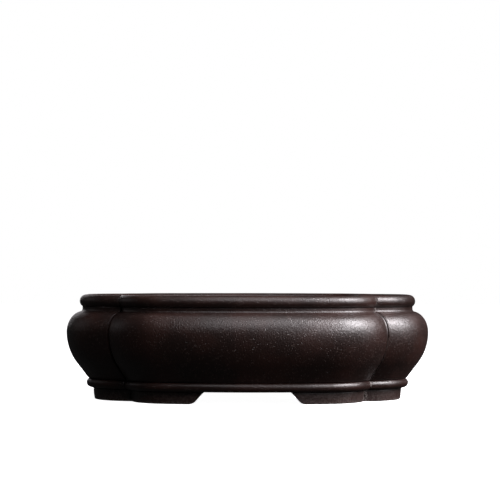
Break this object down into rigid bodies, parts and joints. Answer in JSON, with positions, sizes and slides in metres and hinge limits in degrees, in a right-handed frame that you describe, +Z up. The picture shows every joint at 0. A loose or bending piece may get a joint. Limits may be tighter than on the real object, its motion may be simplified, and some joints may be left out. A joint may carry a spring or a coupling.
{
  "type": "rectangular flower pot",
  "caption": "Low slab-built rectangular flower pot in dark unglazed clay, with bulging walls, creased corners, rolled lip, foot bead, corner feet and drain holes in the floor.",
  "frame": {"origin": "on the table under the middle of the pot", "axes": "+X along the width, +Y towards the back, +Z up"},
  "size_m": [0.26, 0.2, 0.0747],
  "materials": {
    "burnished_clay": "burnished, unglazed, satin sheen with a fine sandy grain",
    "raw_clay": "unglazed, matt, smoothed by hand"
  },
  "bodies": {
    "root": {"floor_slab": "raw_clay", "front_wall": "burnished_clay", "back_wall": "burnished_clay", "left_wall": "burnished_clay", "right_wall": "burnished_clay", "front_lip": "burnished_clay", "back_lip": "burnished_clay", "left_lip": "burnished_clay", "right_lip": "burnished_clay", "front_bead": "burnished_clay", "back_bead": "burnished_clay", "left_bead": "burnished_clay", "right_bead": "burnished_clay", "front_left_foot": "burnished_clay", "front_right_foot": "burnished_clay", "back_left_foot": "burnished_clay", "back_right_foot": "burnished_clay", "front_left_foot_return": "burnished_clay", "front_right_foot_return": "burnished_clay", "back_left_foot_return": "burnished_clay", "back_right_foot_return": "burnished_clay", "front_floor_coil": "raw_clay", "back_floor_coil": "raw_clay", "left_floor_coil": "raw_clay", "right_floor_coil": "raw_clay", "front_left_seam_strip": "raw_clay", "front_right_seam_strip": "raw_clay", "back_left_seam_strip": "raw_clay", "back_right_seam_strip": "raw_clay"}
  },
  "joints": []
}
